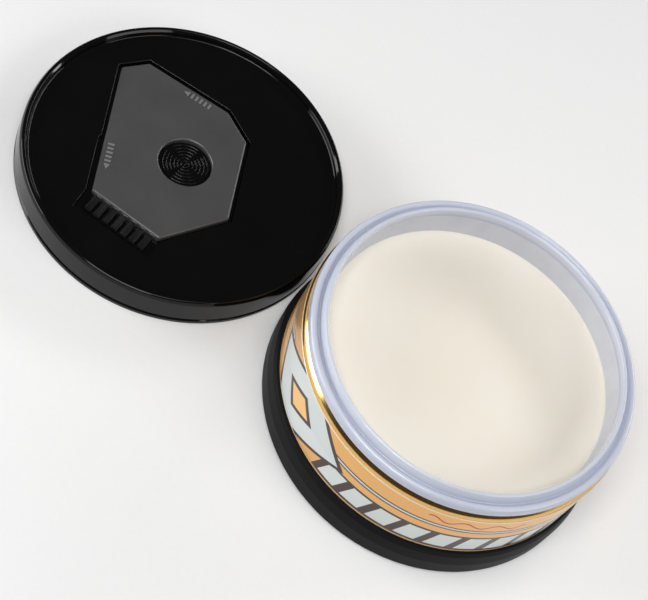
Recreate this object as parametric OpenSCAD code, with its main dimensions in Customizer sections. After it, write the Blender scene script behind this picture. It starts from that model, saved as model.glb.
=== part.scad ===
// Flat round tin of paste polish, opened: the tin stands on its rubber base ring and its
// lid lies beside it, right way up, with the opener-and-brush tool stowed in the lid.
// Origin: axis of the tin, on the surface that it stands on. +Z is up, the lid lies at -X.

/* [Tin] */
// Outer radius of the can wall
can_r = 55; // [45:0.5:66]
// Height of the label zone's top edge, where the shoulder starts
label_top = 38; // [34:0.5:50]
// Sheet thickness of the can, its base and its seam
sheet = 0.4; // [0.2:0.05:0.6]
// How far the shoulder draws in from the wall to the neck
shoulder_in = 1.8; // [1:0.1:3]
// Height of the curved shoulder
shoulder_h = 2.8; // [2.4:0.1:6]
// Height of the straight neck above the shoulder
neck_h = 1.2; // [1:0.1:3]

/* [Base] */
// Height of the double seam that joins the base to the wall
seam_h = 2.8; // [2:0.1:4]
// Height of the sealing compound inside the seam
compound_h = 0.3; // [0.2:0.05:0.6]
// Width of the rubber base ring outside the wall
ring_w = 2.4; // [1.8:0.1:4]
// Height of the rubber base ring
ring_h = 13.5; // [9:0.5:18]
// Thickness of the ring's lip under the seam
ring_lip = 0.6; // [0.4:0.1:1.5]

/* [Cup and wax] */
// Wall and floor thickness of the cup
cup_wall = 1; // [0.7:0.1:1.5]
// Gap from the bottom of the tin to the underside of the cup's floor
cup_lift = 7.3; // [6:0.1:12]
// How much narrower the cup is at its floor than at its mouth
cup_draft = 0.8; // [0.2:0.1:1.5]
// Depth of the wax surface below the top of the rim
wax_drop = 13; // [7:0.1:16]
// Height that the wax climbs where it meets the cup wall
wax_meniscus = 0.5; // [0.2:0.1:1]

/* [Rim ring] */
// Width of the rim ring's top, from the neck in to the cup's mouth
rim_w = 4.2; // [3.9:0.1:9]
// How far the rim ring stands out from the neck
rim_out = 1.1; // [0.8:0.1:2]
// Height from the neck's top edge to the top of the rim ring
rim_h = 4.2; // [3.6:0.1:6]
// Height of the rim ring's outer bead below its inner one
rim_step = 1.8; // [1.2:0.1:2.4]

/* [Label] */
// Thickness of the label film
label_t = 0.15; // [0.1:0.05:0.3]
// Angle over which the label's ends overlap
label_lap = 8; // [4:1:15]

/* [Lid] */
// Radial clearance between the lid's skirt and the rim ring
lid_fit = 0.3; // [0.2:0.05:0.6]
// Thickness of the lid's skirt
lid_wall = 1.6; // [1.2:0.1:2.4]
// Overall height of the lid
lid_h = 12; // [10:0.5:16]
// Depth of the dish inside the lid's top bead
dish_drop = 2.3; // [1.5:0.1:3.5]
// Thickness of the lid's deck
deck_t = 1.2; // [0.9:0.1:1.8]
// Thickness of the foam liner
liner_t = 1; // [0.6:0.1:1.5]
// Gap between the tin and the lid that lies beside it
lid_gap = 1.6; // [1:0.2:20]

/* [Tool] */
// Thickness of the tool plate
tool_t = 2.2; // [1.8:0.1:3]
// Gap round the tool in its pocket
tool_gap = 1.2; // [0.6:0.1:2]
// Depth of the pocket below the dish
pocket_drop = 2.1; // [1.5:0.1:3]
// Land left between the tool and the edge of the dish
tool_land = 9.4; // [8:0.2:14]
// Radius of the round boss that the tool's hole drops over
boss_r = 8.9; // [6:0.1:12]
// Radial clearance between the boss and the tool's hole
boss_fit = 0.35; // [0.2:0.05:0.6]
// Angle of the tool about the lid's axis
tool_turn = 45; // [0:5:355]
// Width of one brush tuft
tuft_w = 2.2; // [1.5:0.1:3]
// Free length of the brush tufts
tuft_l = 7.5; // [5:0.5:9]
// Thickness of the brush tufts
tuft_t = 1.4; // [0.8:0.1:1.6]
// Number of brush tufts
tuft_count = 7; // [5:1:8]

/* [Hidden] */
$fn = 128;
arc_steps = 8;

// fits
snug = 0.05;          // radial clearance of pieces pressed together for good
stow_gap = 0.1;       // height that the stowed tool keeps above the pocket floor

// heights up the tin
seam_z = ring_lip;
seam_top = seam_z + seam_h;
wall_z = seam_z + sheet + compound_h;
shoulder_top = label_top + shoulder_h;
neck_top = shoulder_top + neck_h;
flange_t = 0.6;
flange_top = neck_top + flange_t;
rim_top = neck_top + rim_h;
wax_z = rim_top - wax_drop;
cup_floor_z = cup_lift + cup_wall;

// radii across the tin
neck_r = can_r - shoulder_in;
cup_r = neck_r - rim_w;
rim_r = neck_r + rim_out;
seam_r = can_r + snug + sheet;
ring_r = can_r + ring_w;

// lid, in its own frame: its axis at the origin, its skirt's lower edge at zero
lid_in = rim_r + lid_fit;
lid_r = lid_in + lid_wall;
lid_x = -(ring_r + lid_gap + lid_r);
dish_z = lid_h - dish_drop;
deck_z = dish_z - deck_t;
bead_w = 4.3;
dish_r = lid_r - bead_w;
pocket_z = dish_z - pocket_drop;
pocket_wall = 1.2;
tool_reach = dish_r - tool_land;
tool_z = pocket_z + stow_gap;
hole_r = boss_r + boss_fit;

// Tool outline, anticlockwise from its opener tip, as shares of its reach
tip = [-0.26, 0.94];
heel = [-0.49, 0.87];
brush_left = [-0.75, -0.35];
brush_right = [-0.24, -0.73];
tool_shape = [tip, heel, brush_left, brush_right, [0.33, -0.49], [0.52, 0.26], [0.38, 0.54]];
tool_outline = tool_reach * tool_shape;

// Brush edge, and the way in which its tufts point
brush_a = tool_reach * brush_left;
brush_b = tool_reach * brush_right;
brush_len = norm(brush_b - brush_a);
brush_along = (brush_b - brush_a) / brush_len;
brush_out = [brush_along[1], -brush_along[0]];
tuft_root = 1.2;      // length of each tuft held inside the plate

// Pocket outline: the tool and its brush, with a finger step beside the brush
step_share = 0.6;
step_w = 0.8;
side_way = (brush_left - heel) / norm(brush_left - heel);
side_out = [side_way[1], -side_way[0]];
step_at = tool_reach * (heel + step_share * (brush_left - heel));
pocket_outline = grow([
    tool_reach * tip, tool_reach * heel, step_at, step_at + step_w * side_out,
    brush_a + step_w * side_out, brush_a + tuft_l * brush_out, brush_b + tuft_l * brush_out, brush_b,
    for (i = [4:len(tool_shape) - 1]) tool_outline[i]
], tool_gap);
pocket_reach = max([for (p = grow(pocket_outline, pocket_wall)) norm(p)]);

// Points of an arc about c, from angle a0 to a1
function arc(c, r, a0, a1, n = arc_steps) =
    [for (i = [0:n]) c + r * [cos(a0 + (a1 - a0) * i / n), sin(a0 + (a1 - a0) * i / n)]];

// Points of a quarter-ellipse from [x0, y0] to [x1, y1], leaving the first point upright
function ease(x0, y0, x1, y1, n = arc_steps) =
    [for (i = [0:n]) [x1 + (x0 - x1) * cos(90 * i / n), y0 + (y1 - y0) * sin(90 * i / n)]];

// An anticlockwise outline moved outwards by d, with its corners kept sharp
function edge_normal(p, q) = [q[1] - p[1], p[0] - q[0]] / norm(q - p);
function corner(p, q, r, d) =
    let (a = edge_normal(p, q), b = edge_normal(q, r)) q + d * (a + b) / (1 + a * b);
function grow(pts, d) =
    let (n = len(pts)) [for (i = [0:n - 1]) corner(pts[(i + n - 1) % n], pts[i], pts[(i + 1) % n], d)];

// Radius of the cup's inner wall at height z
function cup_in(z) = cup_r - cup_draft * (flange_top - z) / (flange_top - cup_floor_z);

module ring_box(r0, r1, z0, z1) {
    rotate_extrude() polygon([[r0, z0], [r1, z0], [r1, z1], [r0, z1]]);
}

module in_lid() {
    translate([lid_x, 0, 0]) children();
}

module in_tool() {
    in_lid() rotate([0, 0, tool_turn]) children();
}

// Tinplate wall: straight label zone, drawn-in shoulder, neck with a folded hem, welded lap inside
module can_wall() {
    hem_h = 1.2;
    lap_w = 3;
    outer = concat([[can_r, wall_z]], ease(can_r, label_top, neck_r, shoulder_top), [[neck_r, neck_top]]);
    inner = [for (i = [len(outer) - 1:-1:0]) outer[i] - [sheet, 0]];
    color("goldenrod") union() {
        rotate_extrude() polygon(concat(outer, inner));
        ring_box(neck_r - 2 * sheet, neck_r - sheet, neck_top - hem_h, neck_top);
        rotate([0, 0, 90 - lap_w / 2])
            rotate_extrude(angle = lap_w)
                polygon([
                    [can_r - 1.5 * sheet, seam_top], [can_r - 0.9 * sheet, seam_top],
                    [can_r - 0.9 * sheet, label_top], [can_r - 1.5 * sheet, label_top]
                ]);
    }
}

// Pressed base with a stiffening step, its edge folded up round the wall's lower edge
module can_base() {
    panel_z = seam_z + 2;
    step_h = 1.1;
    step_r0 = can_r * 0.66;
    step_r1 = can_r * 0.83;
    leg_in = can_r - 2 * sheet - snug;
    slot_in = can_r - sheet - snug;
    slot_out = can_r + snug;
    slot_z = seam_z + sheet;
    color("silver") rotate_extrude() polygon([
        [0, panel_z], [step_r0, panel_z], [step_r0 + step_h, panel_z + step_h],
        [step_r1 - step_h, panel_z + step_h], [step_r1, panel_z], [leg_in, panel_z],
        [leg_in, seam_z + 0.3], [leg_in + 0.3, seam_z], [seam_r - 0.3, seam_z],
        [seam_r, seam_z + 0.3], [seam_r, seam_top], [slot_out, seam_top],
        [slot_out, slot_z], [slot_in, slot_z], [slot_in, panel_z + sheet],
        [step_r1 + 0.4 * sheet, panel_z + sheet], [step_r1 - step_h + 0.4 * sheet, panel_z + step_h + sheet],
        [step_r0 + step_h - 0.4 * sheet, panel_z + step_h + sheet], [step_r0 - 0.4 * sheet, panel_z + sheet],
        [0, panel_z + sheet]
    ]);
}

// Sealing compound squeezed under the wall's edge inside the seam
module seam_compound() {
    color("dimgray") ring_box(can_r - sheet, can_r, seam_z + sheet, wall_z);
}

// Rubber ring sprung over the seam, with a lip under it and a rounded upper shoulder
module base_ring() {
    foot = 0.5;
    lip_w = 2;
    shoulder_r = 1.6;
    hug_r = can_r + snug;
    seat_r = seam_r + snug;
    color([0.13, 0.13, 0.14]) rotate_extrude() polygon(concat(
        [[can_r - lip_w, 0], [ring_r - foot, 0], [ring_r, foot]],
        ease(ring_r, ring_h * 0.6, ring_r - shoulder_r, ring_h),
        [
            [hug_r, ring_h], [hug_r, seam_top + snug], [seat_r, seam_top + snug],
            [seat_r, seam_z], [can_r - lip_w, seam_z]
        ]
    ));
}

// Printed film wrapped round the wall, with its ends lapped at the back
module label_wrap() {
    film_z = ring_h + 0.3;
    film_top = label_top - 0.2;
    color("orange") union() {
        ring_box(can_r, can_r + label_t, film_z, film_top);
        rotate([0, 0, 90 - label_lap / 2])
            rotate_extrude(angle = label_lap)
                polygon([
                    [can_r + 0.5 * label_t, film_z], [can_r + 2 * label_t, film_z],
                    [can_r + 2 * label_t, film_top], [can_r + 0.5 * label_t, film_top]
                ]);
    }
}

// Moulded cup that holds the wax, hung by its flange on the neck's hem
module inner_cup() {
    floor_r = cup_in(cup_floor_z);
    corner_r = 4;
    color([0.72, 0.72, 0.75]) rotate_extrude() polygon(concat(
        [[0, cup_lift]],
        arc([floor_r + cup_wall - corner_r, cup_lift + corner_r], corner_r, -90, 0),
        [
            [cup_r + cup_wall, neck_top], [neck_r, neck_top],
            [neck_r, flange_top], [cup_r, flange_top]
        ],
        cup_bottom_edge(),
        [[0, cup_floor_z]]
    ));
}

// The cup's inner corner, from its wall down to its floor
function cup_bottom_edge() =
    let (r = 3, z = cup_floor_z + r, wall_r = cup_in(z))
    [for (i = [0:arc_steps])
        [wall_r - r + r * cos(90 * i / arc_steps), z - r * sin(90 * i / arc_steps)]];

// Glossy rim ring: outer bead, groove, sloping face and raised inner bead, clipped over the flange
module rim_ring() {
    outer_r = 1.2;
    groove_w = 0.5;
    bead_z = rim_top - rim_step;
    inner_bead = 0.7;
    leg_z = neck_top - 1.1;
    bead_c = [rim_r - outer_r, bead_z - outer_r];
    groove_r = rim_r - 2 * outer_r - 0.3;
    groove_z = bead_z - 1.1;
    top_c = [cup_r + inner_bead, rim_top - inner_bead];
    color([0.72, 0.74, 0.86]) rotate_extrude() polygon(concat(
        [[neck_r + snug, leg_z], [rim_r - 0.3, leg_z], [rim_r, leg_z + 0.3]],
        arc(bead_c, outer_r, 0, 90),
        arc([bead_c[0], groove_z], bead_z - groove_z, 90, 170),
        [[groove_r, groove_z], [groove_r - groove_w, groove_z + 0.1]],
        arc(top_c, inner_bead, 45, 180),
        [[cup_r, flange_top], [neck_r + snug, flange_top]]
    ));
}

// Wax cast in the cup, with its edge drawn up the wall
module wax_cake() {
    edge_z = wax_z + wax_meniscus;
    edge_r = cup_in(edge_z);
    wall = cup_bottom_edge();
    color([0.93, 0.89, 0.82]) rotate_extrude() polygon(concat(
        [[0, cup_floor_z]],
        [for (i = [len(wall) - 1:-1:0]) wall[i]],
        [
            [edge_r, edge_z], [edge_r - 0.5, wax_z + 0.5 * wax_meniscus],
            [edge_r - 1.4, wax_z + 0.1 * wax_meniscus], [edge_r - 3, wax_z], [0, wax_z]
        ]
    ));
}

// Lid: skirt with a groove and lower lip, raised top bead, dish, and the tool's pocket and boss
module lid_shell() {
    lead = 0.5;
    lip_top = 1.4;
    crest_r = lid_r - 1.6;
    crest_w = 1;
    profile = concat(
        [
            [lid_in + lead, 0], [lid_r - 0.3, 0], [lid_r, 0.3], [lid_r, lip_top],
            [lid_r - 0.5, lip_top + 0.4], [lid_r - 0.5, lip_top + 0.9], [lid_r - 0.1, lip_top + 1.3]
        ],
        ease(lid_r - 0.5, lid_h - 1.4, crest_r, lid_h),
        arc([crest_r - 0.4, lid_h - crest_w], crest_w, 90, 150),
        [[dish_r + 0.7, dish_z + 0.3], [dish_r, dish_z], [0, dish_z]],
        [[0, deck_z], [lid_in, deck_z], [lid_in, 2 * lead + 0.5], [lid_in + lead, lead + 0.5]]
    );
    color([0.03, 0.03, 0.03]) in_lid() {
        difference() {
            union() {
                rotate_extrude() polygon(profile);
                rotate([0, 0, tool_turn])
                    translate([0, 0, pocket_z - deck_t])
                        linear_extrude(dish_z - pocket_z + deck_t / 2)
                            polygon(grow(pocket_outline, pocket_wall));
            }
            rotate([0, 0, tool_turn])
                translate([0, 0, pocket_z])
                    linear_extrude(lid_h)
                        polygon(pocket_outline);
        }
        boss();
    }
}

// Round boss that holds the tool, with concentric grip ridges on its top
module boss() {
    boss_h = tool_t - 1.1;
    ridge_h = 0.3;
    ridge_pitch = 1.3;
    ridge_w = 0.5;
    boss_top = pocket_z + boss_h;
    ridges = floor((boss_r - ridge_w) / ridge_pitch);
    translate([0, 0, pocket_z - 0.5]) cylinder(r = boss_r, h = boss_h + 0.5);
    cylinder_on(boss_top, ridge_w, ridge_h);
    for (i = [1:ridges])
        ring_box(i * ridge_pitch - ridge_w / 2, i * ridge_pitch + ridge_w / 2, boss_top - 0.2, boss_top + ridge_h);
}

module cylinder_on(z, r, h) {
    translate([0, 0, z - 0.2]) cylinder(r = r, h = h + 0.2);
}

// Foam sealing ring glued under the lid's deck
module lid_liner() {
    color("ivory") in_lid() ring_box(pocket_reach + 0.4, lid_in - 0.2, deck_z - liner_t, deck_z);
}

// Tool plate: opener tip at one corner, brush along one edge, round hole over the boss,
// and a raised arrow with short bars beside each working edge
module tool_plate() {
    mark_h = 0.15;
    color([0.32, 0.32, 0.32]) in_tool() union() {
        difference() {
            translate([0, 0, tool_z]) linear_extrude(tool_t) polygon(tool_outline);
            cylinder(r = hole_r, h = lid_h + tool_t);
            tuft_row(tuft_root, 0);
        }
        translate([0, 0, tool_z + tool_t - 0.1])
            linear_extrude(mark_h + 0.1) {
                mark_beside(tool_outline[len(tool_outline) - 1], tool_outline[0], 0.52);
                mark_beside(tool_outline[1], tool_outline[2], 0.82);
            }
    }
}

// Arrow and bars laid inside the edge from p to q, the arrow's point at the given share of it
module mark_beside(p, q, share) {
    inset = 2.6;
    arrow = 2.2;
    bar_gap = 1.7;
    bars = 5;
    way = (q - p) / norm(q - p);
    inward = [-way[1], way[0]];
    at = p + share * (q - p) + inset * inward;
    turn = atan2(way[1], way[0]);
    translate(at) rotate(turn) {
        polygon([[0, 0], [-arrow, arrow / 2], [-arrow, -arrow / 2]]);
        for (i = [1:bars])
            translate([-arrow - i * bar_gap, -arrow / 2]) square([bar_gap / 2, arrow]);
    }
}

// Brush tufts as solid blocks, from inside the plate's edge out to their tips
module tuft_row(root, reach) {
    pitch = brush_len / (tuft_count + 0.6);
    z = tool_z + (tool_t - tuft_t) / 2;
    for (i = [0:tuft_count - 1]) {
        at = brush_a + (0.8 + i) * pitch * brush_along - root * brush_out;
        turn = atan2(brush_out[1], brush_out[0]);
        translate([at[0], at[1], z]) rotate([0, 0, turn])
            translate([0, -tuft_w / 2, 0]) cube([root + max(reach, 0.5), tuft_w, tuft_t]);
    }
}

module brush_tufts() {
    color([0.05, 0.05, 0.05]) in_tool() tuft_row(tuft_root, tuft_l - 0.6);
}

can_wall();
can_base();
seam_compound();
base_ring();
label_wrap();
inner_cup();
rim_ring();
wax_cake();
lid_shell();
lid_liner();
tool_plate();
brush_tufts();
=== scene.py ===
"""The looks of a flat round tin of paste polish, opened, with its lid and stowed tool beside it."""

import logging
import math
from dataclasses import dataclass, field
from enum import Enum
from typing import Iterable, Sequence, Union

import bmesh
import bpy
from mathutils import Matrix, Vector, noise
from mathutils.geometry import tessellate_polygon


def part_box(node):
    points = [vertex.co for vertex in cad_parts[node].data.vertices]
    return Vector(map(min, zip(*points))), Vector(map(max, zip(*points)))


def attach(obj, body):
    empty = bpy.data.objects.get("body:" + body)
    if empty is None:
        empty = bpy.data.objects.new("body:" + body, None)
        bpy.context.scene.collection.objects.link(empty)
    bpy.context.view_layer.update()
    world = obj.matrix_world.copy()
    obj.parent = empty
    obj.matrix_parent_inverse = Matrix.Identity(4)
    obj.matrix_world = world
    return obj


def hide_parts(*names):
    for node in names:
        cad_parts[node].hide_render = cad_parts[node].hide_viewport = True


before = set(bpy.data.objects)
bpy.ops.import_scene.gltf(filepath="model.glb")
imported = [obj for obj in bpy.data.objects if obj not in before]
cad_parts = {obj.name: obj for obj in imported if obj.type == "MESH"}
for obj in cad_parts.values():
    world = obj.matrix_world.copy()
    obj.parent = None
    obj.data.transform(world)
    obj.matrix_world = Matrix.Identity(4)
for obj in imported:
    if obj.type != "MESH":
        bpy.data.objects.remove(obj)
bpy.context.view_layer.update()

LOG = logging.getLogger("polish_tin")
MM = 0.001
TURN = 2 * math.pi
SMOOTH_LIMIT = math.radians(38)

Point = tuple[float, float]
Colour = tuple[float, float, float]
Operand = Union["Num", float]


def colour(red: int, green: int, blue: int) -> Colour:
    """Turn a colour given in screen steps of 0 to 255 into linear light.

    Args:
        red, green, blue: Screen values.

    Returns:
        The linear colour.
    """

    def linear(step: int) -> float:
        """Return one channel in linear light."""
        share = step / 255
        return share / 12.92 if share <= 0.04045 else ((share + 0.055) / 1.055) ** 2.4

    return linear(red), linear(green), linear(blue)


# ---------------------------------------------------------------- shaders


class Num:
    """A number that varies over a surface; working on it adds Math nodes."""

    def __init__(self, paint: "Paint", socket: bpy.types.NodeSocket) -> None:
        """Wrap a socket of a material."""
        self.paint = paint
        self.socket = socket

    def _math(self, operation: str, *values: Operand, clamp: bool = False) -> "Num":
        """Add one Math node over the given values."""
        settings = {"operation": operation, "use_clamp": clamp}
        node = self.paint.node("ShaderNodeMath", settings, dict(enumerate(values)))
        return Num(self.paint, node.outputs[0])

    def __add__(self, other: Operand) -> "Num":
        """Return self + other."""
        return self._math("ADD", self, other)

    __radd__ = __add__

    def __sub__(self, other: Operand) -> "Num":
        """Return self - other."""
        return self._math("SUBTRACT", self, other)

    def __rsub__(self, other: Operand) -> "Num":
        """Return other - self."""
        return self._math("SUBTRACT", other, self)

    def __mul__(self, other: Operand) -> "Num":
        """Return self * other."""
        return self._math("MULTIPLY", self, other)

    __rmul__ = __mul__

    def __truediv__(self, other: Operand) -> "Num":
        """Return self / other."""
        return self._math("DIVIDE", self, other)

    def __abs__(self) -> "Num":
        """Return the size of self without its sign."""
        return self._math("ABSOLUTE", self)

    def __and__(self, other: Operand) -> "Num":
        """Return where both masks are on."""
        return self._math("MINIMUM", self, other)

    def __or__(self, other: Operand) -> "Num":
        """Return where either mask is on."""
        return self._math("MAXIMUM", self, other)

    def power(self, exponent: float) -> "Num":
        """Return self raised to a power."""
        return self._math("POWER", self, exponent)

    def sine(self) -> "Num":
        """Return the sine of self, in radians."""
        return self._math("SINE", self)

    def part(self) -> "Num":
        """Return the part of self past its whole number."""
        return self._math("FRACT", self)

    def whole(self) -> "Num":
        """Return self rounded down."""
        return self._math("FLOOR", self)

    def held(self) -> "Num":
        """Return self held between 0 and 1."""
        return self._math("ADD", self, 0.0, clamp=True)

    def over(self, limit: Operand, soft: float) -> "Num":
        """Return a mask that is on where self is above a limit, with an edge of the given softness."""
        return ((self - limit) / soft + 0.5).held()


class Paint:
    """One node-built material."""

    def __init__(self, name: str) -> None:
        """Make an empty material with a Principled shader."""
        self.material = bpy.data.materials.new(name)
        self.material.use_nodes = True
        self.tree = self.material.node_tree
        self.tree.nodes.clear()
        self.shader = self.node("ShaderNodeBsdfPrincipled")
        self.node("ShaderNodeOutputMaterial", sockets={"Surface": self.shader.outputs[0]})

    def node(self, kind: str, settings: dict | None = None, sockets: dict | None = None) -> bpy.types.Node:
        """Add a node.

        Args:
            kind: The node's type.
            settings: Its properties, set before its sockets; "stops" fills a colour ramp.
            sockets: Values or links for its inputs, by name or number.

        Returns:
            The node.
        """
        made = self.tree.nodes.new(kind)
        for key, value in (settings or {}).items():
            if key == "stops":
                self._fill_ramp(made, value)
            else:
                setattr(made, key, value)
        for key, value in (sockets or {}).items():
            self.feed(made.inputs[key], value)
        return made

    @staticmethod
    def _fill_ramp(node: bpy.types.Node, stops: Sequence[tuple[float, Colour]]) -> None:
        """Set the stops of a colour ramp."""
        ramp = node.color_ramp
        while len(ramp.elements) > 1:
            ramp.elements.remove(ramp.elements[-1])
        for index, (place, shade) in enumerate(stops):
            stop = ramp.elements[0] if index == 0 else ramp.elements.new(place)
            stop.position = place
            stop.color = (*shade, 1.0)

    def feed(self, socket: bpy.types.NodeSocket, value: object) -> None:
        """Link or set one input socket."""
        if isinstance(value, Num):
            value = value.socket
        if isinstance(value, bpy.types.NodeSocket):
            self.tree.links.new(value, socket)
        elif isinstance(value, (tuple, list)) and len(value) == 3 and socket.type == "RGBA":
            socket.default_value = (*value, 1.0)
        else:
            socket.default_value = value

    def set(self, **sockets: object) -> None:
        """Set the shader's own sockets; an underscore in a name stands for a space."""
        for key, value in sockets.items():
            self.feed(self.shader.inputs[key.replace("_", " ")], value)

    def place(self, centre: Sequence[float] = (0, 0, 0),
              stretch: Sequence[float] = (1, 1, 1)) -> bpy.types.NodeSocket:
        """Return object coordinates, moved so that centre is the origin and then stretched."""
        where = self.node("ShaderNodeTexCoord").outputs["Object"]
        offset = [-c * s for c, s in zip(centre, stretch)]
        mapped = self.node(
            "ShaderNodeMapping", {"vector_type": "POINT"},
            {"Vector": where, "Location": offset, "Scale": tuple(stretch)},
        )
        return mapped.outputs[0]

    def axes(self, vector: bpy.types.NodeSocket) -> tuple[Num, Num, Num]:
        """Split a vector into its three numbers."""
        split = self.node("ShaderNodeSeparateXYZ", sockets={"Vector": vector})
        return Num(self, split.outputs[0]), Num(self, split.outputs[1]), Num(self, split.outputs[2])

    def grain(self, size: float, where: bpy.types.NodeSocket, detail: float = 3, rough: float = 0.5) -> Num:
        """Return noise from 0 to 1 whose blobs are about the given size across, in metres."""
        made = self.node(
            "ShaderNodeTexNoise", sockets={
                "Vector": where, "Scale": 1 / size, "Detail": detail, "Roughness": rough,
            },
        )
        return Num(self, made.outputs[0])

    def cells(self, size: float, where: bpy.types.NodeSocket, feature: str = "F1",
              output: str = "Distance") -> Num:
        """Return a cell pattern whose cells are about the given size across, in metres."""
        made = self.node("ShaderNodeTexVoronoi", {"feature": feature}, {"Vector": where, "Scale": 1 / size})
        return Num(self, made.outputs[output])

    def mix(self, share: Operand, first: object, second: object) -> bpy.types.NodeSocket:
        """Mix two colours and return the result's socket."""
        made = self.node("ShaderNodeMix", {"data_type": "RGBA"}, {0: share, 6: first, 7: second})
        return made.outputs[2]

    def relief(self, height: Num, depth: float, strength: float = 1.0) -> None:
        """Bump the surface by a height from 0 to 1 over the given depth in metres."""
        bump = self.node(
            "ShaderNodeBump", sockets={"Strength": strength, "Distance": depth, "Height": height},
        )
        self.set(Normal=bump.outputs[0])


@dataclass(frozen=True)
class GoldLacquer:
    """Gold-lacquered tinplate with faint rolling marks."""

    name: str = "gold_lacquer"
    light: Colour = colour(240, 200, 132)
    deep: Colour = colour(218, 168, 92)

    def make(self) -> bpy.types.Material:
        """Build the material."""
        paint = Paint(self.name)
        fine = paint.grain(0.18 * MM, paint.place(), detail=2)
        rolled = paint.grain(0.5 * MM, paint.place(stretch=(0.15, 0.15, 4)), detail=3)
        blotch = paint.grain(9 * MM, paint.place())
        paint.set(
            Base_Color=paint.mix((0.6 * blotch + 0.4 * fine).held(), self.deep, self.light),
            Metallic=1.0,
            Roughness=0.09 + 0.09 * rolled + 0.05 * fine,
        )
        paint.relief(0.5 * rolled + 0.5 * fine, 0.004 * MM, 0.3)
        return paint.material


@dataclass(frozen=True)
class RimPlastic:
    """Pale lilac moulded plastic with a wet gloss."""

    groove: float
    name: str = "rim_plastic"
    pale: Colour = colour(205, 209, 220)
    deep: Colour = colour(178, 183, 203)

    def make(self) -> bpy.types.Material:
        """Build the material, with painted shade: a little deeper down in the groove at the given height."""
        paint = Paint(self.name)
        _, _, z = paint.axes(paint.place())
        # painted shade: below the groove's height the colour turns deeper; cloud mixes this painted shade with
        # random tone
        sunk = 1 - z.over(self.groove + 0.7 * MM, 1.0 * MM)
        cloud = 0.3 * paint.grain(14 * MM, paint.place(), detail=2) + 0.7 * (1 - sunk)
        peel = paint.grain(1.6 * MM, paint.place(), detail=2)
        scuff = paint.grain(0.7 * MM, paint.place(stretch=(1, 1, 5)), detail=4)
        paint.set(
            Base_Color=paint.mix(cloud, self.deep, self.pale),
            Roughness=0.19 + 0.1 * scuff,
            Subsurface_Weight=0.18,
            Subsurface_Radius=(0.6, 0.7, 1.0),
            Subsurface_Scale=1.2 * MM,
            Coat_Weight=0.35,
            Coat_Roughness=0.08,
        )
        paint.relief(0.7 * peel + 0.3 * scuff, 0.02 * MM, 0.4)
        return paint.material


@dataclass(frozen=True)
class CupPlastic:
    """Matte pale grey moulded cup, with a film of wax rubbed on it."""

    name: str = "cup_plastic"
    pale: Colour = colour(208, 210, 218)
    deep: Colour = colour(196, 198, 207)

    def make(self) -> bpy.types.Material:
        """Build the material."""
        paint = Paint(self.name)
        smear = paint.grain(6 * MM, paint.place(stretch=(1, 1, 0.6)), detail=4)
        fine = paint.grain(0.4 * MM, paint.place(), detail=3)
        paint.set(
            Base_Color=paint.mix((1.4 * smear - 0.2).held(), self.deep, self.pale),
            Roughness=0.5 + 0.14 * smear,
            Subsurface_Weight=0.1,
            Subsurface_Scale=1 * MM,
        )
        paint.relief(0.5 * fine + 0.5 * smear, 0.02 * MM, 0.35)
        return paint.material


@dataclass(frozen=True)
class PasteWax:
    """Cream paste wax: soft cloudy tone, faint pits and a fine bloom."""

    centre: Point
    radius: float
    name: str = "paste_wax"
    pale: Colour = colour(238, 232, 221)
    warm: Colour = colour(235, 227, 212)

    def make(self) -> bpy.types.Material:
        """Build the material."""
        paint = Paint(self.name)
        where = paint.place((*self.centre, 0))
        cloud = paint.grain(0.55 * self.radius, where, detail=2, rough=0.4)
        bloom = paint.grain(2.5 * MM, where, detail=5, rough=0.6)
        pits = paint.cells(1.7 * MM, where).over(0.11, 0.08)
        swirl = paint.grain(5 * MM, paint.place(stretch=(1, 0.3, 1)), detail=3)
        tone = (1.6 * cloud - 0.3 + 0.15 * (bloom - 0.5)).held()
        paint.set(
            Base_Color=paint.mix(tone, self.warm, self.pale),
            Roughness=0.34 + 0.16 * bloom,
            Subsurface_Weight=0.25,
            Subsurface_Radius=(1.0, 0.75, 0.5),
            Subsurface_Scale=2 * MM,
            Specular_IOR_Level=0.45,
        )
        paint.relief(0.5 * swirl + 0.2 * bloom + 0.3 * pits, 0.03 * MM, 0.3)
        return paint.material


@dataclass(frozen=True)
class MatteRubber:
    """Matte black rubber with a fine moulded grain and a little dust."""

    name: str = "matte_rubber"
    black: Colour = colour(13, 13, 14)
    dusty: Colour = colour(27, 27, 28)

    def make(self) -> bpy.types.Material:
        """Build the material."""
        paint = Paint(self.name)
        grain = paint.grain(0.25 * MM, paint.place(), detail=4)
        dust = paint.grain(11 * MM, paint.place(), detail=5, rough=0.65)
        specks = 1 - paint.cells(3.1 * MM, paint.place()).over(0.09, 0.03)
        paint.set(
            Base_Color=paint.mix((0.7 * dust * dust + 0.35 * specks).held(), self.black, self.dusty),
            Roughness=0.42 + 0.1 * dust + 0.06 * grain,
            Specular_IOR_Level=0.1,
        )
        paint.relief(grain, 0.02 * MM, 0.45)
        return paint.material


@dataclass(frozen=True)
class GlossBlack:
    """Mirror-gloss black plastic with hairline wear and faint moulding waves."""

    name: str = "gloss_black"
    black: Colour = colour(7, 7, 8)
    worn: Colour = colour(15, 15, 16)

    def make(self) -> bpy.types.Material:
        """Build the material."""
        paint = Paint(self.name)
        haze = paint.grain(18 * MM, paint.place(), detail=4)
        hair = paint.grain(0.5 * MM, paint.place(stretch=(5, 0.25, 1)), detail=2).over(0.68, 0.05)
        wave = paint.grain(16 * MM, paint.place(), detail=1)
        paint.set(
            Base_Color=paint.mix((0.7 * haze + 0.4 * hair).held(), self.black, self.worn),
            Roughness=0.04 + 0.04 * haze + 0.05 * hair,
            Specular_IOR_Level=0.27,
        )
        paint.relief(wave, 0.03 * MM, 0.25)
        return paint.material


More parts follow.
